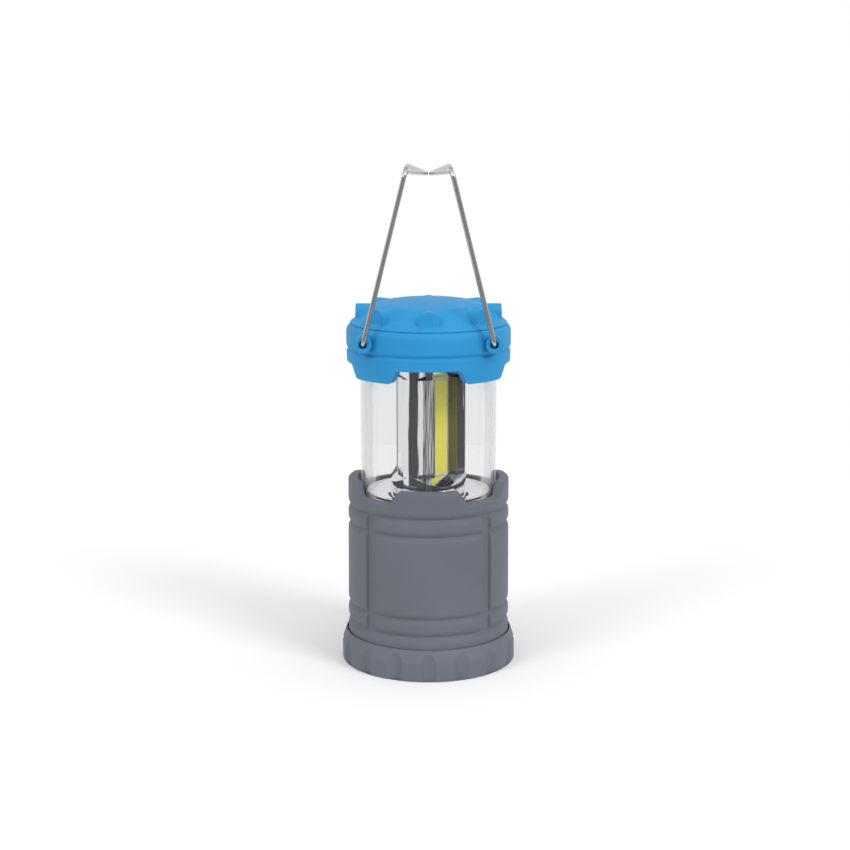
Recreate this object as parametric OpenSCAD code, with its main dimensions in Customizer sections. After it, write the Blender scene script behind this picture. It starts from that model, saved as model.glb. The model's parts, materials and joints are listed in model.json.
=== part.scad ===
// Pop-up camping lantern: screw-off base, sliding clear lens, twin wire bails.
// Millimetres, +Z up, front is -Y, origin at the centre of the underside.

/* [Base and body] */
// Outer radius of the screw-off base cap
base_r = 45; // [40:0.5:50]
// Height of the screw-off base cap
base_h = 16; // [12:0.5:20]
// Number of grip flutes round the base cap
flute_count = 16; // [8:1:24]
// Outer radius of the body at its foot
body_r = 41.8; // [41:0.1:42]
// Height of the body's tooth tops
body_h = 96.3; // [80:0.1:96.4]
// Depth of the rings and channels pressed into the body
groove_d = 1.5; // [0.5:0.1:1.6]

/* [Lens] */
// Outer radius of the clear tube
tube_r = 34.8; // [32:0.1:35]
// Wall of the clear tube
tube_wall = 2; // [1.2:0.1:2.4]

/* [Head] */
// Outer radius of the head ring
head_r = 41.8; // [40:0.1:43]
// Height of the disc on top of the head
head_top = 188.8; // [187:0.1:190]
// Width of each raised lug on the head
lug_w = 10.8; // [8:0.2:12]
// Number of raised lugs
lug_count = 8; // [4:1:8]

/* [Light column] */
// Radius of the column's three pillars
column_r = 19.4; // [18:0.1:19.4]
// Distance of the light strips from the axis
strip_d = 11; // [10.5:0.1:12]
// Width of each light strip
strip_w = 7; // [5:0.5:8]
// Direction of the first light strip, turned from the front
column_turn = 33; // [0:1:60]

/* [Bails] */
// Wire diameter of the two bails
wire_d = 2.4; // [1.6:0.1:2.4]
// Inward lean of the raised bails
bail_lean = 14; // [8:0.5:14]
// Length of a bail's legs
bail_leg = 86.6; // [60:0.2:90]

/* [Hidden] */
$fn = 96;
eps = 0.01;
gap = 0.4;             // sliding clearance between moving bodies
fit = 0.06;            // clearance of fixed parts seated in each other

tube_in = tube_r - tube_wall;
core_r = tube_in - 0.6;
bore_r = body_r - groove_d - 1.7;      // body's inner wall
neck_r = body_r - 1.6;
skirt_z = 12;                          // body's shoulder above the thread
tooth_z = body_h;
notch_z = 89.8;
lobe_z = 150.3;                        // lowest edge of the head ring
groove_z = [22.2, 31.0, 73.6, 82.6];
groove_h = 2.9;
tooth_turn = 45;
stop_z = 78.6;                         // underside of the raised tube
stop_h = 3.8;
ledge_z = 15;
dish_z = 89.5;
sleeve_r = column_r + 0.5;
col_bot = 77;
col_top = 160;
chan_z = [98.9, 149.2];                  // ends of the light strips
chan_half = 4.9;                       // half width of a channel's floor
wall = [[5.65, 12.7], [6.25, 14.4], [6.7, 16.2]];  // steep wall beside a strip, up to its crest
mouth_d = 14.5;                        // chord where a channel meets the pillars
mouth_half = 12.8;
scoop_run = 8.4;
scoop_drop = 4.4;
cell_r = 5.2;
cell_c = 6.3;
cell_z = 84;
cell_len = 43.5;
deck_z = 129.2;
pivot = [32.2, 36, 169.6];
lug_top = 185.9;                       // crown of a lug
boss_r = 4.3;
boss_y = 34.7;
pin_end = 28.4;
wire_r = wire_d / 2;
foot_bend = 2.3;                       // bend where a leg turns into its ear
bail_v = 10.4;                         // how far the bail's V reaches in
thread_lead = 12;
thread_h = 1.3;
thread_arc = 84;

// Solid of revolution from [radius, height] corners
module turned(p) { rotate_extrude() polygon(p); }
module ring(r0, r1, z0, z1) { turned([[r0, z0], [r1, z0], [r1, z1], [r0, z1]]); }
module disc(r, z0, z1) { translate([0, 0, z0]) cylinder(r = r, h = z1 - z0); }
// Child placed at the front and repeated round the axis
module round_front(n, first = 0) {
  for (i = [0 : n - 1]) rotate([0, 0, first + i * 360 / n]) children();
}
// Upright wedge of material, wider at one end, reaching out along -Y
module tooth_gap(half_lo, half_hi, z_lo, z_hi, r_in, r_out) {
  translate([0, -r_in, 0]) rotate([90, 0, 0]) linear_extrude(height = r_out - r_in)
    polygon([[-half_lo, z_lo], [half_lo, z_lo], [half_hi, z_hi], [-half_hi, z_hi]]);
}
// Rib following a screw line on a cylinder, as one closed skin
module screw_rib(r_root, r_tip, z_start, turn, arc) {
  n = ceil(arc / 6);
  pts = [for (i = [0 : n]) let (a = turn + arc * i / n, z = z_start + thread_lead * arc * i / n / 360)
    each [[r_root * cos(a), r_root * sin(a), z], [r_tip * cos(a), r_tip * sin(a), z + thread_h * 0.3],
      [r_tip * cos(a), r_tip * sin(a), z + thread_h * 0.7], [r_root * cos(a), r_root * sin(a), z + thread_h]]];
  side = [for (i = [0 : n - 1], k = [0 : 3]) let (a = 4 * i + k, b = 4 * i + (k + 1) % 4)
    each [[a, a + 4, b], [b, a + 4, b + 4]]];
  ends = [[0, 1, 2], [0, 2, 3], [4 * n + 2, 4 * n + 1, 4 * n], [4 * n + 3, 4 * n + 2, 4 * n]];
  if (r_tip > r_root) polyhedron(points = pts, faces = [for (f = concat(side, ends)) [f[0], f[2], f[1]]]);
  else polyhedron(points = pts, faces = concat(side, ends));
}

// ---- body ----
module ring_groove(z) {
  turned([[body_r + 2, z + groove_h + 1], [body_r - 0.2, z + groove_h], [body_r - 0.75, z + 1.2],
    [body_r - groove_d - 0.1, z], [body_r - 0.75, z - 1.2], [body_r - 0.2, z - groove_h],
    [body_r + 2, z - groove_h - 1]]);
}
module body_shell() color([0.43, 0.45, 0.49]) {
  difference() {
    turned([[bore_r, 4], [neck_r, 4], [neck_r, skirt_z], [body_r, skirt_z], [body_r - 0.1, 35],
      [body_r - 0.4, tooth_z - 1.4], [body_r - 1.6, tooth_z - 0.2], [36.9, tooth_z + 0.6],
      [36.5, tooth_z], [36.5, 86], [tube_r + 0.6, 85], [tube_r + 0.6, stop_z + stop_h + 0.6],
      [bore_r, stop_z + stop_h + 0.6], [bore_r, ledge_z + 3], [34.6, ledge_z + 3],
      [34.6, ledge_z], [bore_r, ledge_z]]);
    for (z = groove_z) ring_groove(z);
    round_front(4, tooth_turn) difference() {
      translate([-3.1, -body_r - 2, groove_z[0]]) cube([6.2, 8, groove_z[3] - groove_z[0]]);
      cylinder(r = body_r - groove_d, h = body_h);
    }
    round_front(4, tooth_turn) tooth_gap(12.1, 16.6, notch_z, tooth_z + 1, 30, 46);
    round_front(3, column_turn + 60) translate([0, -36.3, ledge_z - 1]) cylinder(r = 1, h = 3.4);
  }
  round_front(3) screw_rib(neck_r - 0.4, neck_r + 1, 5.2, 0, thread_arc);
}
module core_housing() color([0.86, 0.86, 0.84]) {
  difference() {
    union() {
      turned([[core_r - 1.6, 12], [38.3, 12], [38.3, ledge_z], [core_r, ledge_z],
        [core_r, dish_z - 1.3], [core_r - 1.6, dish_z - 1.3]]);
      ring(sleeve_r, sleeve_r + 1.5, 12, 80);
      ring(sleeve_r + 1, core_r - 1, 12, 14);
      round_front(6, column_turn) translate([-0.8, -core_r + 1, 13])
        cube([1.6, core_r - sleeve_r - 2, 66]);
    }
    translate([-1.2, -core_r - 1, ledge_z]) cube([2.4, 1.6, dish_z]);
    round_front(3, column_turn + 60) translate([0, -36.3, 11]) cylinder(r = 1.4, h = 5);
  }
}
module core_screws() color([0.7, 0.7, 0.72]) {
  round_front(3, column_turn + 60) translate([0, -36.3, 0]) {
    difference() {
      disc(1.95, 10.4, 12);
      translate([-1.2, -0.3, 10.3]) cube([2.4, 0.6, 0.8]);
    }
    disc(0.95, 11.9, 17.2);
  }
}
module reflector_dish() color([0.85, 0.86, 0.88]) difference() {
  turned([[31.6, dish_z - 1.2], [31.6, dish_z], [30.9, dish_z], [24, 87.4], [20.8, 86.9],
    [sleeve_r + 0.1, 86.5], [sleeve_r, 86.2], [sleeve_r, 80.1], [21.2, 80.1], [21.2, 85.4],
    [24.2, 86.1], [30.5, dish_z - 1.2]]);
  rotate([0, 0, column_turn + 180]) translate([-8, -24, 79]) cube([16, 8, 5.8]);
}
module switch_bridge() color([0.85, 0.72, 0.35]) {
  intersection() {
    ring(sleeve_r + 0.2, sleeve_r + 0.7, 80.3, 84.4);
    rotate([0, 0, column_turn + 180]) translate([-7.5, -30, 79]) cube([15, 30, 8]);
  }
}

// ---- screw-off base ----
module bottom_cap() color([0.42, 0.44, 0.48]) {
  difference() {
    turned([[0, 0], [base_r - 1, 0], [base_r, 1], [base_r, base_h * 0.61], [base_r - 2.2, base_h],
      [body_r + gap, base_h], [body_r + gap, skirt_z - gap - 0.6], [neck_r + 1.4, skirt_z - gap - 0.6],
      [neck_r + 1.4, 2.6], [0, 2.6]]);
    round_front(flute_count) translate([0, -base_r - 5, -1]) cylinder(r = 6.5, h = base_h + 2);
  }
  round_front(3) screw_rib(neck_r + 1.8, neck_r + 0.4, 6.7, 0, thread_arc);
}
module cap_gasket() color([0.12, 0.12, 0.13]) { ring(bore_r + 0.2, neck_r + 0.9, 2.65, 3.7); }

// ---- head ----
module boss_pair() {
  for (x = [-1, 1], y = [-1, 1]) translate([x * pivot[0], y * boss_y, pivot[2]])
    rotate([y * 90, 0, 0]) cylinder(r = boss_r, h = boss_y - 18);
}
module head_ring() color([0.24, 0.62, 0.86]) {
  difference() {
    union() {
      turned([[tube_r + fit, lobe_z], [40.5, lobe_z], [41.1, lobe_z + 0.7], [head_r - 0.1, 157],
        [head_r - 0.1, 162.4], [head_r - 0.9, 163.3], [head_r - 0.9, 164.2], [head_r, 165.2],
        [head_r, 173.4], [head_r - 0.8, 175], [39.5, 176.3], [38.6, 176.3], [38.6, 174.4],
        [35, 174.4], [35, 170], [22, 170], [22, 167.2], [tube_r + fit, 167.2]]);
      difference() {
        boss_pair();
        disc(38.5, 160, 180);
      }
    }
    round_front(4) tooth_gap(19.5, 15.7, lobe_z - eps, 157, 30, 46);
    for (x = [-1, 1], y = [-1, 1]) translate([x * pivot[0], 0, pivot[2]]) rotate([y * 90, 0, 0]) {
      translate([0, 0, pin_end - 0.5]) cylinder(r = wire_r + 0.08, h = 10);
      translate([0, 0, boss_y - 1.6]) cylinder(r = wire_r + 0.75, h = 5);
    }
    round_front(3, column_turn + 60) translate([0, -26, 167]) cylinder(r = 1.2, h = 4);
    round_front(4, 22.5) translate([0, -36.4, 173]) cylinder(r = 0.9, h = 2);
  }
}
module head_dome() color([0.24, 0.62, 0.86]) {
  difference() {
    union() {
      turned([[0, 174.5], [0, head_top], [14, head_top - 0.7], [27.6, 186], [40, 176.75], [40, 176.4], [38.5, 176.4],
        [38.5, 174.5]]);
      round_front(lug_count) translate([0, -37.2, 0]) rotate([-90, 0, 0]) {
        translate([0, -lug_top + lug_w / 2, 0]) cylinder(r = lug_w / 2, h = 14);
        translate([-lug_w / 2, -lug_top + lug_w / 2, 0]) cube([lug_w, 5, 14]);
      }
    }
    turned([[0, 170], [34.8, 170], [34.8, 175], [25.6, 183.4], [14, 185.6], [0, 186]]);
    round_front(4, 22.5) translate([0, -36.4, 174]) cylinder(r = 0.95, h = 2);
  }
}
module head_gasket() color([0.15, 0.15, 0.16]) { ring(31, 34.8, 166.06, 167.14); }
module dome_pins() color([0.7, 0.7, 0.72]) {
  round_front(4, 22.5) translate([0, -36.4, 0]) disc(0.85, 173.1, 175.9);
}

// ---- lens ----
module lens_tube() color([0.9, 0.93, 0.95, 0.3]) {
  ring(tube_in, tube_r, stop_z, 166);
  translate([-0.7, -tube_in - 0.5, stop_z]) cube([1.4, 1.2, 166 - stop_z]);
}
module tube_stop_ring() color([0.3, 0.32, 0.35]) { ring(tube_r + fit, bore_r - gap, stop_z, stop_z + stop_h); }

// ---- light column ----
// Cells' shared chamber in plan
module chamber(extra, z0, z1) {
  translate([0, 0, z0]) {
    cylinder(r = 5 + extra, h = z1 - z0);
    round_front(3, column_turn + 60) translate([0, -cell_c, 0]) cylinder(r = cell_r + extra, h = z1 - z0);
  }
}
module channel_cut() {
  linear_extrude(height = chan_z[1] - chan_z[0])
    polygon(concat([[chan_half, -strip_d]], [for (p = wall) [p[0], -p[1]]],
      [[mouth_half, -mouth_d], [mouth_half, -column_r - 2], [-mouth_half, -column_r - 2],
      [-mouth_half, -mouth_d]], [for (i = [2 : -1 : 0]) [-wall[i][0], -wall[i][1]]],
      [[-chan_half, -strip_d]]));
}
// Sloping ends that throw light outward, above and below each strip
module scoop(up) {
  z = up ? chan_z[1] : chan_z[0];
  s = up ? 1 : -1;
  rotate([90, 0, 90]) translate([0, 0, -20]) linear_extrude(height = 40)
    polygon([[-strip_d, z], [-strip_d - scoop_run - 3, z], [-strip_d - scoop_run - 3,
      z + s * scoop_drop * (scoop_run + 3) / scoop_run]]);
}
module reflector_column() color([0.86, 0.87, 0.89]) {
  difference() {
    disc(column_r, col_bot, col_top);
    chamber(0.3, col_bot - 1, col_top + 1);
    round_front(3, column_turn) {
      translate([0, 0, chan_z[0]]) channel_cut();
      scoop(true);
      scoop(false);
      translate([-4.6, -strip_d - 1, chan_z[0]]) cube([9.2, 2.3, chan_z[1] - chan_z[0]]);
      translate([0, -strip_d + 0.7, chan_z[1] - 0.1]) cylinder(r = 0.6, h = 12);
    }
    disc(column_r - 1, col_bot - 1, col_bot + 2.2);
    round_front(2, column_turn) translate([0, -15.5, col_bot]) cylinder(r = 0.8, h = 8);
    round_front(3, column_turn + 60) translate([0, -16, 152.5]) cylinder(r = 1, h = 10);
    for (a = [203, 223]) rotate([0, 0, a]) translate([-1.3, -column_r - 1, 80]) cube([2.6, 2, 6.4]);
  }
}
module cob_board(i) color([0.9, 0.9, 0.88]) {
  rotate([0, 0, column_turn + 120 * (i - 1)])
    translate([-4.5, -strip_d, chan_z[0] + 0.1]) cube([9, 1.1, chan_z[1] - chan_z[0] - 0.2]);
}
module cob_strip(i) color([0.96, 0.9, 0.3]) {
  rotate([0, 0, column_turn + 120 * (i - 1)])
    translate([-strip_w / 2, -strip_d - 0.5, chan_z[0] + 1.3]) cube([strip_w, 0.5, chan_z[1] - chan_z[0] - 2.4]);
}
module cob_lead(i) color([0.8, 0.15, 0.12]) {
  rotate([0, 0, column_turn + 120 * (i - 1)])
    translate([0, -strip_d + 0.7, chan_z[1] + 0.5]) cylinder(r = 0.45, h = 163.8 - chan_z[1] - 0.5);
}
module cob_board_1() cob_board(1);
module cob_board_2() cob_board(2);
module cob_board_3() cob_board(3);
module cob_strip_1() cob_strip(1);
module cob_strip_2() cob_strip(2);
module cob_strip_3() cob_strip(3);
module cob_lead_1() cob_lead(1);
module cob_lead_2() cob_lead(2);
module cob_lead_3() cob_lead(3);
module column_head() color([0.88, 0.88, 0.87]) {
  difference() {
    union() {
      disc(tube_in - 1.4, col_top + 0.05, col_top + 2.4);
      round_front(3, column_turn + 60) translate([0, -26, 0]) disc(3.4, col_top + 1, 167.1);
    }
    chamber(0.3, col_top - 1, col_top + 3);
    round_front(3, column_turn + 60) {
      translate([0, -26, 161]) cylinder(r = 0.9, h = 7);
      translate([0, -16, col_top - 1]) cylinder(r = 1.2, h = 5);
    }
    round_front(3, column_turn) translate([0, -strip_d + 0.7, 155]) cylinder(r = 0.6, h = 9);
  }
}
module head_screws() color([0.7, 0.7, 0.72]) {
  round_front(3, column_turn + 60) translate([0, -26, 0]) {
    disc(2, 170.1, 171.6);
    disc(0.85, 162, 170.2);
  }
}
module column_screws() color([0.7, 0.7, 0.72]) {
  round_front(3, column_turn + 60) translate([0, -16, 0]) {
    disc(2, col_top + 2.45, col_top + 3.7);
    disc(0.95, 153, col_top + 2.5);
  }
}
module driver_board() color([0.1, 0.4, 0.2]) {
  difference() {
    disc(17, 163.9, 165.3);
    disc(3, 163, 166);
  }
}
module driver_parts() color([0.15, 0.15, 0.15]) {
  translate([6, -3, 165.35]) cube([5, 6, 2]);
  translate([-11, -2, 165.35]) cube([4, 3, 1.4]);
  translate([-2, 8, 165.35]) cube([5, 2.6, 1.2]);
}

// ---- battery pack inside the column ----
module cell(i, upright) {
  rotate([0, 0, column_turn + 60 + 120 * (i - 1)]) translate([0, -cell_c, 0]) {
    color([0.2, 0.35, 0.25]) disc(cell_r, cell_z + (upright ? 0 : 1), cell_z + cell_len + (upright ? 0 : 1));
    color([0.8, 0.8, 0.8]) {
      if (upright) disc(1.9, cell_z + cell_len - eps, cell_z + cell_len + 1);
      else disc(1.9, cell_z, cell_z + 1 + eps);
    }
  }
}
module cell_1() cell(1, true);
module cell_2() cell(2, false);
module cell_3() cell(3, true);
module contact_deck() color([0.15, 0.15, 0.16]) {
  difference() {
    chamber(0.2, deck_z, deck_z + 2);
    disc(1, deck_z - 1, deck_z + 3);
    round_front(3, column_turn + 60) translate([0, -cell_c, deck_z - 1]) cylinder(r = 1.2, h = 4);
  }
}
module rivet_contact(i) {
  rotate([0, 0, column_turn + 60 + 120 * (i - 1)]) translate([0, -cell_c, 0]) disc(1.1, deck_z - 0.5, deck_z + 2.5);
}
module top_contact() color([0.85, 0.72, 0.35]) {
  rivet_contact(1);
  rotate([0, 0, column_turn + 60]) translate([-1.6, -cell_c - 3, deck_z + 2.05]) cube([3.2, 5.4, 0.5]);
}
module top_strap() color([0.85, 0.72, 0.35]) {
  rivet_contact(2);
  rivet_contact(3);
  rotate([0, 0, column_turn + 240]) translate([-7, -4.45, deck_z + 2.05]) cube([14, 2.6, 0.5]);
}
module return_rod() color([0.85, 0.72, 0.35]) { disc(0.6, 81.6, 163.8); }
module battery_door() color([0.2, 0.2, 0.22]) {
  difference() {
    disc(column_r - 1.1, col_bot, col_bot + 2.1);
    round_front(2, column_turn) translate([0, -15.5, col_bot - 1]) cylinder(r = 1, h = 5);
  }
}
module door_screws() color([0.7, 0.7, 0.72]) {
  round_front(2, column_turn) translate([0, -15.5, 0]) {
    disc(1.9, col_bot - 1.1, col_bot - 0.05);
    disc(0.75, col_bot - 0.1, col_bot + 6.5);
  }
}
module bottom_strap() color([0.85, 0.72, 0.35]) {
  rotate([0, 0, column_turn + 120]) translate([-7, -4.45, col_bot + 2.15]) cube([14, 2.6, 0.5]);
  rotate([0, 0, column_turn + 180]) translate([0, -cell_c, 0]) disc(2.4, col_bot + 2.2, cell_z - 0.1);
}
module bottom_contact() color([0.85, 0.72, 0.35]) {
  rotate([0, 0, column_turn + 300]) translate([-2, -cell_c - 3, col_bot + 2.15]) cube([4, 8, 0.5]);
  disc(1.4, col_bot + 2.2, 81.5);
}
module battery_spring(i) color([0.8, 0.8, 0.82]) {
  turns = 3;
  steps = 16;
  n = turns * steps;
  m = 6;
  w = 0.3;
  pts = [for (s = [0 : n], k = [0 : m - 1]) let (f = s / n, a = 360 * s / steps, r = 4 - 1.8 * f,
    z = col_bot + 3.1 + 3.4 * f, b = 360 * k / m)
    [(r + w * cos(b)) * cos(a), (r + w * cos(b)) * sin(a), z + w * sin(b)]];
  side = [for (s = [0 : n - 1], k = [0 : m - 1]) let (a = m * s + k, b = m * s + (k + 1) % m)
    each [[a, b, a + m], [b, b + m, a + m]]];
  rotate([0, 0, column_turn + 60 + 120 * (i - 1)]) translate([0, -cell_c, 0])
    polyhedron(points = pts, faces = concat(side, [[for (k = [m - 1 : -1 : 0]) k]],
      [[for (k = [0 : m - 1]) m * n + k]]));
}
module battery_spring_1() battery_spring(1);
module battery_spring_2() battery_spring(3);
module switch_leaf(a) color([0.85, 0.72, 0.35]) {
  rotate([0, 0, a]) translate([-1.2, -column_r + 0.1, 80.2]) cube([2.4, 0.4, 6]);
}
module switch_leaf_1() switch_leaf(203);
module switch_leaf_2() switch_leaf(223);

// ---- bails ----
function unit(v) = v / norm(v);
// Points that round off corner b between a and c
function rounded(a, b, c, r, n = 8) =
  let (d = unit(a - b), e = unit(c - b), half = 90 - acos(d * e) / 2,
    mid = b + unit(d + e) * r / cos(half), u = unit(b + d * r * tan(half) - mid))
  [for (i = [0 : n]) let (t = 2 * half * i / n) mid + r * (cos(t) * u - sin(t) * d)];
// Round wire swept along a path that never runs along X
module wire(path, m = 20) {
  n = len(path) - 1;
  pts = [for (i = [0 : n]) let (t = unit(path[min(i + 1, n)] - path[max(i - 1, 0)]),
    p = unit(cross(t, [1, 0, 0])), q = cross(t, p))
    for (k = [0 : m - 1]) path[i] + wire_r * (cos(360 * k / m) * p + sin(360 * k / m) * q)];
  side = [for (i = [0 : n - 1], k = [0 : m - 1]) let (a = m * i + k, b = m * i + (k + 1) % m)
    each [[a, a + m, b], [b, a + m, b + m]]];
  polyhedron(points = pts, faces = concat(side, [[for (k = [0 : m - 1]) k]],
    [[for (k = [m - 1 : -1 : 0]) m * n + k]]));
}
// One bail hung from the origin, legs up, its V reaching out along +X
module bail() {
  y = pivot[1];
  c = [[0, -y, 0], [0, -y, bail_leg], [bail_v, 0, bail_leg], [0, y, bail_leg], [0, y, 0]];
  from = [0, -pin_end, 0];
  to = [0, pin_end, 0];
  wire(concat([from], rounded(from, c[0], c[1], foot_bend), rounded(c[0], c[1], c[2], 3),
    rounded(c[1], c[2], c[3], 4), rounded(c[2], c[3], c[4], 3), rounded(c[3], c[4], to, foot_bend), [to]));
}
module bail_left() color([0.75, 0.76, 0.78]) {
  translate([-pivot[0], 0, pivot[2]]) rotate([0, bail_lean, 0]) bail();
}
module bail_right() color([0.75, 0.76, 0.78]) {
  mirror([1, 0, 0]) translate([-pivot[0], 0, pivot[2]]) rotate([0, bail_lean, 0]) bail();
}

body_shell();
core_housing();
reflector_dish();
core_screws();
switch_bridge();
cap_gasket();
bottom_cap();
head_ring();
head_dome();
head_gasket();
dome_pins();
lens_tube();
tube_stop_ring();
reflector_column();
column_head();
head_screws();
column_screws();
cob_board_1();
cob_board_2();
cob_board_3();
cob_strip_1();
cob_strip_2();
cob_strip_3();
cob_lead_1();
cob_lead_2();
cob_lead_3();
driver_board();
driver_parts();
cell_1();
cell_2();
cell_3();
contact_deck();
top_contact();
top_strap();
return_rod();
battery_door();
door_screws();
bottom_strap();
bottom_contact();
battery_spring_1();
battery_spring_2();
switch_leaf_1();
switch_leaf_2();
bail_left();
bail_right();
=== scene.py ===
import bpy, json, math
import numpy as np
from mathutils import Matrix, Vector


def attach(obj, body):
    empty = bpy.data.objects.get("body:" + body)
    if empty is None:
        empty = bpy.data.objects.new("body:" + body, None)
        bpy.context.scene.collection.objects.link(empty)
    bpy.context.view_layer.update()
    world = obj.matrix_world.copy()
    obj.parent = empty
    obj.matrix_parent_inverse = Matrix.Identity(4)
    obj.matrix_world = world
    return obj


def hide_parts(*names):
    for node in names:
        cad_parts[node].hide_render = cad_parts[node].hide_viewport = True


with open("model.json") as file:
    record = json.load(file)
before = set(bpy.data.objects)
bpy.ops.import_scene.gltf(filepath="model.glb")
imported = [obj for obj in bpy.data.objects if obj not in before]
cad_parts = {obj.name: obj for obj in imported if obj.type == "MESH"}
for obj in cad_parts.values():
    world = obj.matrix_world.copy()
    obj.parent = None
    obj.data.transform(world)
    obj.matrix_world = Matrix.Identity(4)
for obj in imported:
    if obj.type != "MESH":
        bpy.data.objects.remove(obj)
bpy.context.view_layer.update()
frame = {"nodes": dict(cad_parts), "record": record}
MM = 0.001                              # shapes are written in millimetres
N = frame["nodes"]

# ---------------------------------------------------------------- helpers
def mesh_obj(name, verts, faces, body, angle=38):
    """Smooth-shaded piece riding on a body, sharp where its faces turn more than angle degrees."""
    me = bpy.data.meshes.new(name)
    v = np.asarray(verts, np.float64) * MM
    me.from_pydata(v.tolist(), [], [tuple(f) for f in faces])
    me.update()
    o = bpy.data.objects.new(name, me)
    bpy.context.scene.collection.objects.link(o)
    me.polygons.foreach_set("use_smooth", [True] * len(me.polygons))
    me.set_sharp_from_angle(angle=math.radians(angle))
    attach(o, body)
    return o

def grid_faces(nu, nv, wrap_u=True):
    """Quads of a grid that closes on itself in v, and in u too if wrap_u."""
    a, b = np.meshgrid(np.arange(nu if wrap_u else nu - 1), np.arange(nv), indexing="ij")
    a2, b2 = (a + 1) % nu, (b + 1) % nv
    return np.stack([a * nv + b, a2 * nv + b, a2 * nv + b2, a * nv + b2], -1).reshape(-1, 4)

def revolve(r, z, th):
    """r, z: arrays [angle, profile]; th [angle], measured from the front (-Y) towards +X."""
    return np.stack([r * np.sin(th)[:, None], -r * np.cos(th)[:, None], z], -1).reshape(-1, 3)

def signed_volume(v, f):
    v = np.asarray(v); f = np.asarray(f)
    a, b, c, d = (v[f[:, k]] for k in range(4))
    return (np.einsum("ij,ij->i", a, np.cross(b, c)) + np.einsum("ij,ij->i", a, np.cross(c, d))).sum()

def ring_solid(name, r, z, th, body, angle=38, extra=()):
    """Closed ring-like solid from a closed profile that may vary with the angle."""
    v = revolve(r, z, th)
    f = grid_faces(r.shape[0], r.shape[1])
    if signed_volume(v, f) < 0: f = f[:, ::-1]
    v, f = v.tolist(), [tuple(q) for q in f]
    for ev, ef in extra:
        base = len(v)
        v += [tuple(p) for p in ev]
        f += [tuple(i + base for i in q) for q in ef]
    return mesh_obj(name, v, f, body, angle)

def finish_piece(o, material, node):
    paint(o, material)
    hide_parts(node)
    return o

def sstep(x):
    x = np.clip(x, 0, 1)
    return x * x * (3 - 2 * x)

def softmin(a, b, k):
    m = np.minimum(a, b)
    return m - k * np.log(np.exp(-(a - m) / k) + np.exp(-(b - m) / k))

def softmax(a, b, k): return -softmin(-a, -b, k)

def ease(u, k):
    """u held between 0 and 1 with softened corners"""
    return softmax(softmin(u, 1 + 0 * u, k), 0 * u, k)

def wrap(a, period, centre=0.0):
    """signed distance of angle a (degrees) to the nearest of centre + k * period"""
    return (a - centre + period / 2) % period - period / 2

def arc(cx, cy, r, a0, a1, n):
    t = np.radians(np.linspace(a0, a1, n))
    return list(zip(cx + r * np.cos(t), cy + r * np.sin(t)))

def add_columns(rr, zz, points, like):
    """Add profile points (r, z) that are the same at every angle."""
    for r_, z_ in points:
        rr.append(r_ + 0 * like)
        zz.append(z_ + 0 * like)

# ---------------------------------------------------------------- materials
def node(tree, kind, **values):
    """New shader node with its named inputs set."""
    n = tree.nodes.new("ShaderNode" + kind)
    for k, v in values.items(): n.inputs[k.replace("_", " ")].default_value = v
    return n

class Mat:
    """A Principled material built up from noise in object coordinates."""
    def __init__(s, name):
        s.m = bpy.data.materials.new(name)
        s.m.use_nodes = True
        s.t = s.m.node_tree
        s.p = s.t.nodes["Principled BSDF"]
        s.co = node(s.t, "TexCoord").outputs["Object"]

    def set(s, **k):
        for a, b in k.items(): s.p.inputs[a.replace("_", " ")].default_value = b
        return s

    def noise(s, scale, detail=3, rough=0.5, vector=None):
        n = node(s.t, "TexNoise", Scale=scale, Detail=detail, Roughness=rough)
        s.t.links.new(vector or s.co, n.inputs["Vector"])
        return n.outputs["Fac"]

    def ramp(s, fac, stops):
        r = node(s.t, "ValToRGB")
        e = r.color_ramp.elements
        while len(e) < len(stops): e.new(0.5)
        for q, (p, c) in zip(e, stops): q.position = p; q.color = (*c, 1)
        s.t.links.new(fac, r.inputs["Fac"])
        return r.outputs["Color"]

    def link(s, out, name):
        s.t.links.new(out, s.p.inputs[name])
        return s

    def maprange(s, fac, lo, hi, f0=0.0, f1=1.0):
        n = node(s.t, "MapRange", From_Min=f0, From_Max=f1, To_Min=lo, To_Max=hi)
        s.t.links.new(fac, n.inputs["Value"])
        return n.outputs["Result"]

    def math(s, op, a, b=None):
        n = node(s.t, "Math")
        n.operation = op
        s.t.links.new(a, n.inputs[0])
        if b is not None: s.t.links.new(b, n.inputs[1])
        return n.outputs[0]

    def between(s, value, lo, hi, edge_lo, edge_hi):
        """1 from lo to hi, fading to 0 over the edge widths inside them"""
        return s.math("MULTIPLY", s.maprange(value, 0.0, 1.0, lo, lo + edge_lo),
            s.maprange(value, 1.0, 0.0, hi - edge_hi, hi))

    def bump(s, fac, strength, distance):
        b = node(s.t, "Bump", Strength=strength, Distance=distance)
        s.t.links.new(fac, b.inputs["Height"])
        s.t.links.new(b.outputs["Normal"], s.p.inputs["Normal"])
        return s

def tone(c, k): return tuple(min(1.0, x * k) for x in c)

def coat(name, c, rough=0.6):
    """soft matt rubberised coat"""
    m = Mat(name)
    m.link(m.ramp(m.noise(28, 4), [(0.3, tone(c, 0.955)), (0.7, tone(c, 1.045))]), "Base Color")
    m.link(m.maprange(m.noise(60, 3), rough - 0.05, rough + 0.06, 0.3, 0.7), "Roughness")
    m.set(Specular_IOR_Level=0.2, Sheen_Weight=0.03, Sheen_Roughness=0.45)
    m.bump(m.noise(2600, 2, 0.6), 0.16, 0.00006)
    return m.m

def moulded(name, c, rough=0.45, bump=0.1):
    m = Mat(name)
    m.link(m.ramp(m.noise(45, 3), [(0.3, tone(c, 0.94)), (0.7, tone(c, 1.05))]), "Base Color")
    m.link(m.maprange(m.noise(90, 2), rough - 0.06, rough + 0.06, 0.3, 0.7), "Roughness")
    m.bump(m.noise(1500, 2), bump, 0.00005)
    return m.m

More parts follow.
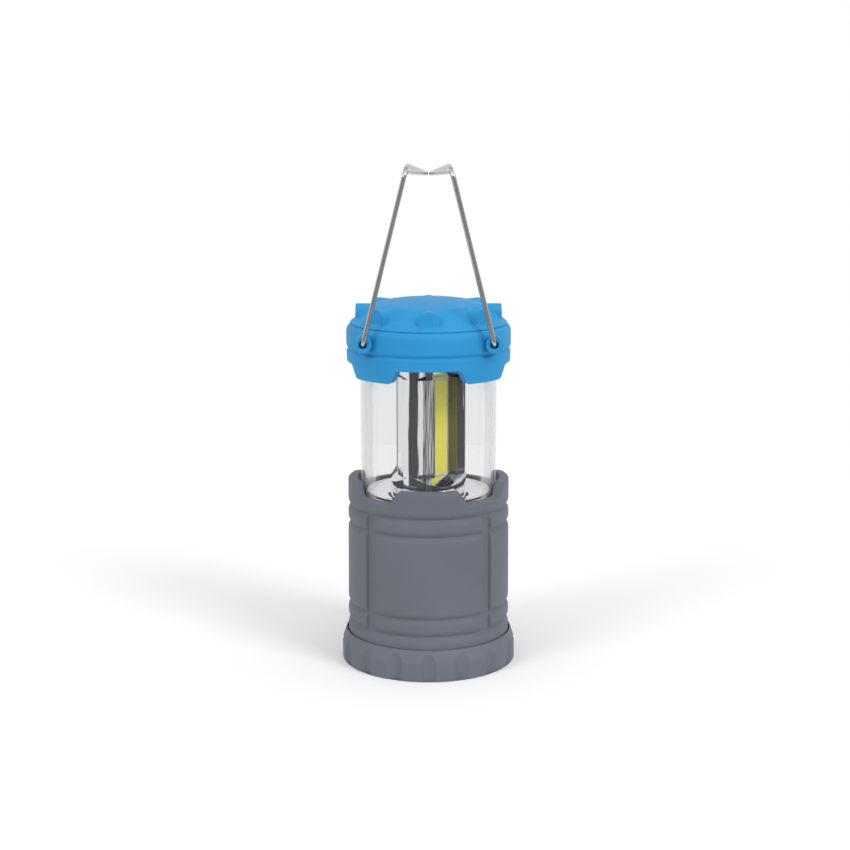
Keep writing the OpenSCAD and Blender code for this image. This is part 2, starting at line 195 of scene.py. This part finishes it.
def metal(name, c, rough=0.12, bump=0.04, scale=160):
    m = Mat(name)
    m.set(Metallic=1.0)
    m.link(m.ramp(m.noise(70, 3), [(0.3, tone(c, 0.96)), (0.7, tone(c, 1.03))]), "Base Color")
    m.link(m.maprange(m.noise(220, 3), rough * 0.7, rough * 1.35, 0.3, 0.7), "Roughness")
    m.bump(m.noise(scale, 2), bump, 0.0001)
    return m.m

def column_plate():
    """Bright plating, with painted shade darkening the recess walls beside the light strips."""
    # dark is the painted shade colour given to the recess walls in place of real shade
    bright, dark = (0.87, 0.88, 0.895), (0.15, 0.145, 0.12)
    m = Mat("column_plate")
    m.set(Metallic=1.0)
    xyz = node(m.t, "SeparateXYZ")
    m.t.links.new(m.co, xyz.inputs[0])
    x, y, z = (xyz.outputs[k] for k in "XYZ")
    radius = m.math("SQRT", m.math("ADD", m.math("MULTIPLY", x, x), m.math("MULTIPLY", y, y)))
    # painted shade: the plating is coloured dark on the recess walls, 12.1 to 17.7 mm from the axis and 98.5 to 149.6
    # mm up
    painted_wall_shade = m.math("MULTIPLY", m.between(radius, 0.0121, 0.0177, 0.0004, 0.0004),
        m.between(z, 0.0985, 0.1496, 0.001, 0.0008))
    m.link(m.ramp(painted_wall_shade, [(0.0, bright), (1.0, dark)]), "Base Color")
    m.link(m.maprange(m.noise(160, 3), 0.02, 0.06, 0.3, 0.7), "Roughness")
    # the plated moulding is slightly wavy along its length
    mp = node(m.t, "Mapping", Scale=(260, 260, 26))
    m.t.links.new(m.co, mp.inputs["Vector"])
    return m.bump(m.noise(1.0, 2, vector=mp.outputs["Vector"]), 0.35, 0.0005).m

def phosphor():
    m = Mat("phosphor")
    speckle = [(0.25, (0.88, 0.78, 0.06)), (0.55, (0.97, 0.88, 0.1)), (0.8, (1.0, 0.93, 0.16))]
    m.link(m.ramp(m.noise(1400, 2, 0.6), speckle), "Base Color")
    m.set(Roughness=0.42, Specular_IOR_Level=0.4)
    return m.bump(m.noise(900, 3), 0.25, 0.0001).m

def clear(name):
    """Thin clear plastic: mostly see-through, glossier towards its edges."""
    m = bpy.data.materials.new(name)
    m.use_nodes = True
    t = m.node_tree
    for n in list(t.nodes): t.nodes.remove(n)
    through = node(t, "BsdfTransparent", Color=(0.944, 0.947, 0.949, 1))
    gloss = node(t, "BsdfPrincipled", Base_Color=(0.9, 0.91, 0.92, 1), Roughness=0.03,
        Specular_IOR_Level=0.9, IOR=1.5)
    facing = node(t, "LayerWeight", Blend=0.16)
    coords = node(t, "TexCoord")
    ripple = node(t, "TexNoise", Scale=30)
    bump = node(t, "Bump", Strength=0.02, Distance=0.0003)
    share = node(t, "MapRange", To_Min=0.015, To_Max=0.42)
    mix = node(t, "MixShader")
    out = node(t, "OutputMaterial")
    for a, b in ((coords.outputs["Object"], ripple.inputs["Vector"]), (ripple.outputs["Fac"], bump.inputs["Height"]),
            (bump.outputs["Normal"], gloss.inputs["Normal"]), (bump.outputs["Normal"], facing.inputs["Normal"]),
            (facing.outputs["Fresnel"], share.inputs["Value"]), (share.outputs["Result"], mix.inputs[0]),
            (through.outputs[0], mix.inputs[1]), (gloss.outputs[0], mix.inputs[2]),
            (mix.outputs[0], out.inputs["Surface"])):
        t.links.new(a, b)
    return m

def paint(o, m):
    o.data.materials.clear()
    o.data.materials.append(m)

GREY = coat("grey_coat", (0.118, 0.129, 0.156))
GREY_CAP = coat("grey_cap_coat", (0.124, 0.136, 0.164), 0.58)
BLUE = coat("blue_coat", (0.019, 0.255, 0.535), 0.56)
WIRE = metal("chrome_wire", (0.5, 0.49, 0.475), 0.07, 0.0, 500)
CLEAR = clear("clear_lens")
BY_SLOT = {
    "grey_shell": GREY, "grey_cap": GREY_CAP, "blue_shell": BLUE, "chrome_wire": WIRE, "clear_lens": CLEAR,
    "chrome_plate": metal("chrome_plate", (0.88, 0.89, 0.905), 0.05, 0.05, 90),
    "screw_steel": metal("screw_steel", (0.58, 0.58, 0.6), 0.3),
    "spring_steel": metal("spring_steel", (0.62, 0.62, 0.64), 0.25),
    "brass_contact": metal("brass_contact", (0.8, 0.62, 0.27), 0.28),
    "white_plastic": moulded("white_plastic", (0.72, 0.72, 0.7), 0.42),
    "dark_plastic": moulded("dark_plastic", (0.05, 0.053, 0.058), 0.45),
    "black_rubber": moulded("black_rubber", (0.02, 0.02, 0.021), 0.75, 0.25),
    "board_white": moulded("board_white", (0.8, 0.8, 0.77), 0.35),
    "board_green": moulded("board_green", (0.02, 0.17, 0.06), 0.35),
    "chip_black": moulded("chip_black", (0.025, 0.025, 0.027), 0.4),
    "lead_red": moulded("lead_red", (0.5, 0.03, 0.02), 0.4),
    "cell_wrap": moulded("cell_wrap", (0.045, 0.11, 0.06), 0.25),
    "phosphor": phosphor()}
SLOT = {s["node"]: s["material_slot"] for s in frame["record"]["subparts"]}
for n, o in N.items():
    if not o.material_slots: o.data.materials.append(BY_SLOT[SLOT[n]])
    for place in o.material_slots: place.material = BY_SLOT[SLOT[n]]
paint(N["reflector_column"], column_plate())

# ---------------------------------------------------------------- body shell
STEPS = 864                             # steps round the body and the head ring
TH = np.linspace(0, 2 * np.pi, STEPS, endpoint=False)
DEG = np.degrees(TH)
COLLAR_Z = 85.4                         # where the toothed collar starts
GROOVE_Z, GROOVE_D, GROOVE_HALF = (22.2, 31.0, 73.6, 82.6), 1.5, 3.1
CHANNEL_HALF = 3.5
TOOTH_Z, NOTCH_D = 96.1, 6.7            # top of a collar tooth, and how deep a notch is

def screw_rib(r_root, r_tip, z0, turn, span=84, lead=12, h=1.3, n=28):
    """One start of a screw thread, as a closed rib of n steps."""
    v = []
    for i in range(n + 1):
        a, z = math.radians(turn + span * i / n), z0 + lead * span * i / n / 360
        for r, dz in ((r_root, 0), (r_tip, h * 0.3), (r_tip, h * 0.7), (r_root, h)):
            v.append((r * math.cos(a), r * math.sin(a), z + dz))
    f = [(4 * i + k, 4 * i + (k + 1) % 4, 4 * i + 4 + (k + 1) % 4, 4 * i + 4 + k) for i in range(n) for k in range(4)]
    f += [(3, 2, 1, 0), (4 * n, 4 * n + 1, 4 * n + 2, 4 * n + 3)]
    if r_tip > r_root: f = [q[::-1] for q in f]
    return v, f

def body_out(th_deg, z):
    """Radius of the body's outside: a slight taper, with four rings of groove and four upright channels."""
    R = 41.8 - 0.42 * (z - 12) / 84
    g = np.zeros_like(z)
    for zc in GROOVE_Z:
        u = np.clip((np.sqrt((z - zc) ** 2 + 0.03) - 0.17) / GROOVE_HALF, 0, 1)
        g = np.maximum(g, GROOVE_D * (1 - u) ** 1.7)
    t = np.abs(np.radians(wrap(th_deg, 90, 45))) * R
    ends = sstep((z - GROOVE_Z[0] + 0.7) / 0.9) * sstep((GROOVE_Z[3] + 0.7 - z) / 0.9)
    c = GROOVE_D * sstep((CHANNEL_HALF - t) / 0.9) * ends
    return R - (g ** 6 + c ** 6 + 1e-12) ** (1 / 6)

def rim(th_deg):
    """height of the collar's outer top edge: teeth in front, behind and at the sides"""
    return TOOTH_Z - NOTCH_D * ease((np.abs(wrap(th_deg, 90, 0)) - 22.4) / 6.4, 0.07)

zs = np.concatenate([np.linspace(12, 19.5, 8), np.linspace(19.6, 34, 62), np.linspace(34.6, 70.6, 30),
    np.linspace(71, COLLAR_Z, 62)])
H = rim(DEG)[:, None]
edge_r, top_r = 0.7, 41.36              # rounding and radius of the collar's outer top edge
up = np.linspace(0, 1, 8)[None, 1:]
zo = np.concatenate([np.broadcast_to(zs, (STEPS, len(zs))), COLLAR_Z + (H - edge_r - COLLAR_Z) * up], 1)
q = np.radians(np.linspace(0, 90, 7))[None, 1:]
rr = [body_out(np.broadcast_to(DEG[:, None], zo.shape), zo), top_r - edge_r + edge_r * np.cos(q) + 0 * H]
zz = [zo, H - edge_r + edge_r * np.sin(q)]
for r_, rise in ((40.3, 0.1), (39.2, 0.26), (38.2, 0.4), (37.4, 0.5)):
    rr.append(r_ + 0 * H)
    zz.append(H + rise)
q = np.radians(np.linspace(90, 180, 6))[None, :]
rr.append(37.0 + 0.6 * np.cos(q) + 0 * H)
zz.append(H - 0.1 + 0.6 * np.sin(q))
add_columns(rr, zz, ((36.4, 86.2), (35.4, 85.4), (35.4, 83.0), (38.6, 83.0), (38.6, 18), (34.6, 18), (34.6, 15),
    (38.6, 15), (38.6, 4), (40.2, 4), (40.2, 12)), H)
body = ring_solid("shell_body", np.concatenate(rr, 1), np.concatenate(zz, 1), TH, "base", 40,
    [screw_rib(39.8, 41.2, 5.2, 120 * k) for k in range(3)])
finish_piece(body, GREY, "body_shell")

# ---------------------------------------------------------------- screw-off base
TB = np.linspace(0, 2 * np.pi, 1152, endpoint=False)
prof = [(0.02, 0), (30, 0)] + arc(44.2, 0.8, 0.8, -90, 0, 6) + [(45, z) for z in np.linspace(1.2, 9.4, 14)] + \
    [(45 - 2.1 * t, 9.7 + 6.1 * t) for t in np.linspace(0.02, 0.96, 16)] + arc(42.65, 15.6, 0.3, 20, 180, 6) + \
    [(42.2, 15.2), (42.2, 11), (41.6, 11), (41.6, 2.6), (0.02, 2.6)]
pr = np.array(prof)
r = np.broadcast_to(pr[:, 0], (len(TB), len(prof))).copy()
z = np.broadcast_to(pr[:, 1], r.shape)
# sixteen round flutes, each a cylinder of radius flute_r standing at flute_c from the centre
flute_c, flute_r, no_flute = 50.0, 6.55, 60.0
d = np.radians(wrap(np.degrees(TB), 22.5, 0))[:, None]
s = flute_r ** 2 - (flute_c * np.sin(d)) ** 2
flute = np.where(s > 0, flute_c * np.cos(d) - np.sqrt(np.maximum(s, 0)), no_flute)
outer = (r > 42.55) & (z > 0.3)
r = np.where(outer, softmin(r, flute + 0 * r, 0.09), r)
cap = ring_solid("twist_base", r, z, TB, "base_cap", 30, [screw_rib(42.0, 40.6, 6.7, 120 * k) for k in range(3)])
finish_piece(cap, GREY_CAP, "bottom_cap")

# ---------------------------------------------------------------- head ring
EAR_X, EAR_Y, EAR_Z, EAR_R = 32.2, 34.7, 169.6, 4.3
LOBE_Z = 150.3                          # foot of the ring's lobes

def ring_out(z):
    pts = np.array([(149.0, 40.95), (150.3, 41.0), (157.0, 41.55), (162.0, 41.72), (162.6, 41.6), (163.1, 41.2),
        (163.7, 40.75), (164.2, 40.9), (164.8, 41.5), (165.4, 41.8), (166.2, 41.86), (172.4, 41.86), (173.5, 41.7),
        (174.6, 41.2), (175.5, 40.5), (176.0, 39.9)])
    return np.interp(z, pts[:, 0], pts[:, 1])

B = (LOBE_Z + NOTCH_D * ease((np.abs(wrap(DEG, 90, 45)) - 16.7) / 6.0, 0.09))[:, None]
foot = B + edge_r                       # top of the rounding along the ring's lower edge
up = np.linspace(0, 1, 22)[None, :]
zc = np.concatenate([np.linspace(159.6, 161.6, 5), np.linspace(161.9, 166.4, 26), np.linspace(167, 172.2, 8),
    np.linspace(172.5, 176.0, 16)])
zh = np.concatenate([foot + (159.0 - B - edge_r) * up, np.broadcast_to(zc, (STEPS, len(zc)))], 1)
q = np.radians(np.linspace(-90, -10, 6))[None, :]
rr = [ring_out(foot) - edge_r + edge_r * np.cos(q), ring_out(zh)]
zz = [foot + edge_r * np.sin(q), zh]
add_columns(rr, zz, ((39.5, 176.25), (39.0, 176.32), (38.72, 176.2), (38.6, 175.9), (38.6, 174.4), (35, 174.4),
    (35, 170), (22, 170), (22, 167.2), (34.86, 167.2), (34.86, B + 0.6), (35.3, B + 0.05)), H)

def ear(sx, sy):
    """Ear boss on one side, with the recess that a bail's foot turns in."""
    prof = [(1.95, -4.5), (1.95, -0.3), (2.05, -0.1), (2.2, 0.0), (3.75, 0.0), (4.1, -0.15), (4.3, -0.55), (4.3, -2.0)]
    n, m, v, f = 56, len(prof) + 1, [], []
    for k in range(n):
        t = 2 * math.pi * k / n
        cx, cz = math.cos(t), math.sin(t)
        x = EAR_X + EAR_R * cx
        root_y = math.sqrt(max(39.0 ** 2 - x * x, 1.0))
        for rad, dy in prof: v.append((sx * (EAR_X + rad * cx), sy * (EAR_Y + dy), EAR_Z + rad * cz))
        v.append((sx * x, sy * root_y, EAR_Z + EAR_R * cz))
    for k in range(n):
        k2 = (k + 1) % n
        for j in range(m - 1): f.append((k * m + j, k2 * m + j, k2 * m + j + 1, k * m + j + 1))
    v.append((sx * EAR_X, sy * 30.2, EAR_Z))                    # floor of the recess
    for k in range(n): f.append((((k + 1) % n) * m, k * m, len(v) - 1))
    v.append((sx * EAR_X, sy * 20.0, EAR_Z))                    # inner end, hidden in the ring
    for k in range(n): f.append((k * m + m - 1, ((k + 1) % n) * m + m - 1, len(v) - 1))
    if sx * sy > 0: f = [q[::-1] for q in f]
    return v, f

ring = ring_solid("head_ring_blue", np.concatenate(rr, 1), np.concatenate(zz, 1), TH, "head", 38,
    [ear(sx, sy) for sx in (-1, 1) for sy in (-1, 1)])
finish_piece(ring, BLUE, "head_ring")

# ---------------------------------------------------------------- head dome with lugs
TD = np.linspace(0, 2 * np.pi, 960, endpoint=False)
DISC_R, DISC_Z, DOME_TOP = 27.6, 186.0, 188.8
LUG_HALF, LUG_FILLET, LUG_ARCH_Z, LUG_FACE = 5.35, 0.65, 180.55, 37.35
radii = np.concatenate([np.linspace(0.02, 24, 22), np.linspace(24.3, 30, 24), np.linspace(30.4, 36.2, 18),
    np.linspace(36.3, 37.8, 19), np.linspace(38.0, 39.7, 8), [39.85, 39.95]])
R2, D2 = np.meshgrid(radii, np.degrees(TD))
cone = DISC_Z - (R2 - DISC_R) * (9.25 / 12.4)
disc = DOME_TOP - 2.8 * (R2 / DISC_R) ** 2.2
top = softmin(cone, disc, 0.16)
dl = np.radians(wrap(D2, 45, 0))
x, y = R2 * np.sin(dl), R2 * np.cos(dl)
nose = np.clip((y - 36.7) / LUG_FILLET, 0, 1)                   # how far round the lug's front edge
we = LUG_HALF - LUG_FILLET * (1 - np.sqrt(np.clip(1 - nose ** 2, 0, 1)))
arch = LUG_ARCH_Z + np.sqrt(np.maximum(we ** 2 - x ** 2, 0.0))
inside = sstep((we + 0.12 - np.abs(x)) / 0.3) * sstep((LUG_FACE - y) / 0.45)
zt = softmax(top, 174 + (arch - 174) * inside, 0.14) - 0.35 * sstep((R2 - 39.5) / 0.45)
rr, zz = [R2], [zt]
add_columns(rr, zz, ((39.95, 176.4), (38.5, 176.4), (38.5, 174.6), (0.02, 174.6)), np.zeros((len(TD), 1)))
dome = ring_solid("head_dome_blue", np.concatenate(rr, 1), np.concatenate(zz, 1), TD, "head", 42)
finish_piece(dome, BLUE, "head_dome")

# ---------------------------------------------------------------- clear tube
tube_deg = np.concatenate([np.linspace(-4, 4, 33)[:-1], np.linspace(4, 356, 353)[:-1]])
from_front = np.abs(np.where(tube_deg > 180, tube_deg - 360, tube_deg)) * math.pi * 32.8 / 180
rib = sstep((0.95 - from_front) / 0.5)[:, None]                 # guide rib inside the front
zo = np.array([78.6, 79.0] + list(np.linspace(82, 165.6, 14)) + [166])
ro = np.array([34.5, 34.8] + [34.8] * 14 + [34.6])
ri = np.array([33.0] + [32.8] * 14 + [32.8, 33.0])
shape = (len(tube_deg), len(zo))
r = np.concatenate([np.broadcast_to(ro, shape), np.broadcast_to(ri, shape) - 0.65 * rib], 1)
z = np.broadcast_to(np.concatenate([zo, zo[::-1]]), r.shape)
tube = ring_solid("clear_tube", r, z, np.radians(tube_deg), "head", 30)
finish_piece(tube, CLEAR, "lens_tube")

# ---------------------------------------------------------------- bails
def unit(v): return v / np.linalg.norm(v)

def fillet(a, b, c, r, n=10):
    """Points of the rounding of radius r at corner b of the path a, b, c."""
    a, b, c = map(np.array, (a, b, c))
    d, e = unit(a - b), unit(c - b)
    half = math.pi / 2 - math.acos(d @ e) / 2
    mid = b + unit(d + e) * r / math.cos(half)
    u = unit(b + d * r * math.tan(half) - mid)
    return [mid + r * (math.cos(t) * u - math.sin(t) * d) for t in np.linspace(0, 2 * half, n + 1)]

def bail(name, node_name, sign, body):
    """Wire swept from ear to ear, leaning in at rest so that the two V's nearly meet."""
    ear_y, pin_y, leg, v_in, foot_bend, lean = 36.0, 28.4, 86.6, 10.4, 2.3, math.radians(14)
    wire_r, end_r, bevel, m = 1.2, 0.88, 0.32, 24
    c = [(0, -ear_y, 0), (0, -ear_y, leg), (v_in, 0, leg), (0, ear_y, leg), (0, ear_y, 0)]
    A, Z = (0, -pin_y, 0), (0, pin_y, 0)
    corners, bends = [A] + c + [Z], (foot_bend, 3, 4, 3, foot_bend)
    path = [A]
    for i, bend in enumerate(bends): path += fillet(*corners[i:i + 3], bend)
    P = np.array([np.array(p, float) for p in path + [Z]])
    x = P[:, 0] * math.cos(lean) + P[:, 2] * math.sin(lean)
    z = -P[:, 0] * math.sin(lean) + P[:, 2] * math.cos(lean)
    P = np.stack([sign * (-EAR_X + x), P[:, 1], EAR_Z + z], 1)
    T = np.gradient(P, axis=0)
    T[0], T[-1] = P[1] - P[0], P[-1] - P[-2]
    T /= np.linalg.norm(T, axis=1)[:, None]
    p = np.cross(T, [1, 0, 0])
    p /= np.linalg.norm(p, axis=1)[:, None]
    q = np.cross(T, p)
    an = 2 * np.pi * np.arange(m) / m
    last = len(P) - 1
    rows = [(P[i], wire_r, i) for i in range(len(P))]
    rows[0], rows[-1] = (P[0] + bevel * T[0], wire_r, 0), (P[-1] - bevel * T[-1], wire_r, last)
    rows = [(P[0], end_r, 0)] + rows + [(P[-1], end_r, last)]
    V = np.concatenate([at + rad * (np.cos(an)[:, None] * p[i] + np.sin(an)[:, None] * q[i]) for at, rad, i in rows])
    f = grid_faces(len(rows), m, wrap_u=False)
    a_, b_, c_ = (V[f[2 * m, k]] for k in range(3))
    flip = np.cross(b_ - a_, c_ - a_) @ (a_ - rows[2][0]) < 0
    if flip: f = f[:, ::-1]
    first_cap, last_cap = list(range(m)), list(range(len(V) - m, len(V)))
    f = [tuple(k) for k in f]
    f += [tuple(first_cap if flip else first_cap[::-1]), tuple(last_cap[::-1] if flip else last_cap)]
    return finish_piece(mesh_obj(name, V, f, body, 50), WIRE, node_name)
bail("wire_bail_left", "bail_left", 1, "left_bail")
bail("wire_bail_right", "bail_right", -1, "right_bail")

# ---------------------------------------------------------------- floor, light, camera
FLOOR_R, FLOOR_Y, FLOOR_STEPS = 0.46, 0.08, 96
an = 2 * math.pi * np.arange(FLOOR_STEPS) / FLOOR_STEPS
me = bpy.data.meshes.new("floor")
me.from_pydata([(FLOOR_R * math.cos(t), FLOOR_Y + FLOOR_R * math.sin(t), 0) for t in an], [], [tuple(range(FLOOR_STEPS))])
floor = bpy.data.objects.new("floor", me)
bpy.context.scene.collection.objects.link(floor)
fm = Mat("floor_white")
fm.set(Roughness=0.9, Specular_IOR_Level=0.1)
fm.link(fm.ramp(fm.noise(6, 2), [(0.3, (0.86, 0.86, 0.86)), (0.7, (0.88, 0.88, 0.88))]), "Base Color")
paint(floor, fm.m)

def sun(name, loc, power, spread):
    l = bpy.data.lights.new(name, "SUN")
    l.energy, l.angle = power, math.radians(spread)
    o = bpy.data.objects.new(name, l)
    bpy.context.scene.collection.objects.link(o)
    o.location = loc
    o.rotation_euler = (-Vector(loc)).to_track_quat("-Z", "Y").to_euler()
sun("sun_right", (1.0, -0.9, 0.95), 1.25, 24)
sun("sun_left", (-1.0, -0.9, 0.85), 0.85, 24)
sun("sun_top", (0.1, -0.3, 1.0), 0.45, 70)

# the room: plain white, dimmer for diffuse light; mirror reflections see white cloth with dark
# gaps between the soft boxes, and a bright ceiling
w = bpy.data.worlds.new("studio")
bpy.context.scene.world = w
w.use_nodes = True
wt = w.node_tree
bg = wt.nodes["Background"]
coords = node(wt, "TexCoord")
xyz = node(wt, "SeparateXYZ")
heading = node(wt, "Math")
heading.operation = "ARCTAN2"
turn = node(wt, "MapRange", From_Min=-math.pi, From_Max=math.pi)
# brightness by heading round the room: 0 and 1 are the front, 0.5 is behind the object
stops = [(0, 0.05), (0.033, 0.05), (0.042, 0.95), (0.08, 0.95), (0.092, 0.04), (0.169, 0.04), (0.18, 1),
    (0.322, 0.95), (0.33, 0.15), (0.353, 0.15), (0.361, 0.95), (0.5, 0.95), (0.697, 0.95), (0.706, 0.04),
    (0.739, 0.04), (0.747, 1), (0.817, 1), (0.828, 0.04), (0.894, 0.04), (0.922, 0.95), (0.958, 0.95),
    (0.967, 0.05), (1, 0.05)]
room = node(wt, "ValToRGB")
room.color_ramp.interpolation = "EASE"
el = room.color_ramp.elements
while len(el) < len(stops): el.new(0.5)
for e, (p, v) in zip(el, stops): e.position = p; e.color = (v, v, v, 1)
ray = node(wt, "LightPath")
height = node(wt, "MapRange", From_Min=0.5, From_Max=0.7)
ceiling, seen = node(wt, "Mix"), node(wt, "Mix")
ceiling.data_type = seen.data_type = "RGBA"
ceiling.inputs["B"].default_value = (0.95, 0.95, 0.95, 1)
seen.inputs["A"].default_value = (1, 1, 1, 1)
dim = node(wt, "MapRange", To_Min=1.0, To_Max=0.7)
for a, b in ((coords.outputs["Generated"], xyz.inputs[0]), (xyz.outputs["X"], heading.inputs[0]),
        (xyz.outputs["Y"], heading.inputs[1]), (heading.outputs[0], turn.inputs["Value"]),
        (turn.outputs["Result"], room.inputs["Fac"]), (xyz.outputs["Z"], height.inputs["Value"]),
        (height.outputs["Result"], ceiling.inputs["Factor"]), (room.outputs["Color"], ceiling.inputs["A"]),
        (ray.outputs["Is Glossy Ray"], seen.inputs["Factor"]), (ceiling.outputs["Result"], seen.inputs["B"]),
        (seen.outputs["Result"], bg.inputs["Color"]), (ray.outputs["Is Diffuse Ray"], dim.inputs["Value"]),
        (dim.outputs["Result"], bg.inputs["Strength"])):
    wt.links.new(a, b)

cam = bpy.data.cameras.new("camera")
cam.lens, cam.sensor_width, cam.dof.use_dof = 72.3, 36, False
eye = bpy.data.objects.new("camera", cam)
bpy.context.scene.collection.objects.link(eye)
eye.location = (-0.0018, -0.861, 0.2921)
eye.rotation_euler = (math.radians(90 - 11.11), 0, 0)
bpy.context.scene.camera = eye
bpy.context.scene.view_settings.view_transform = "Standard"
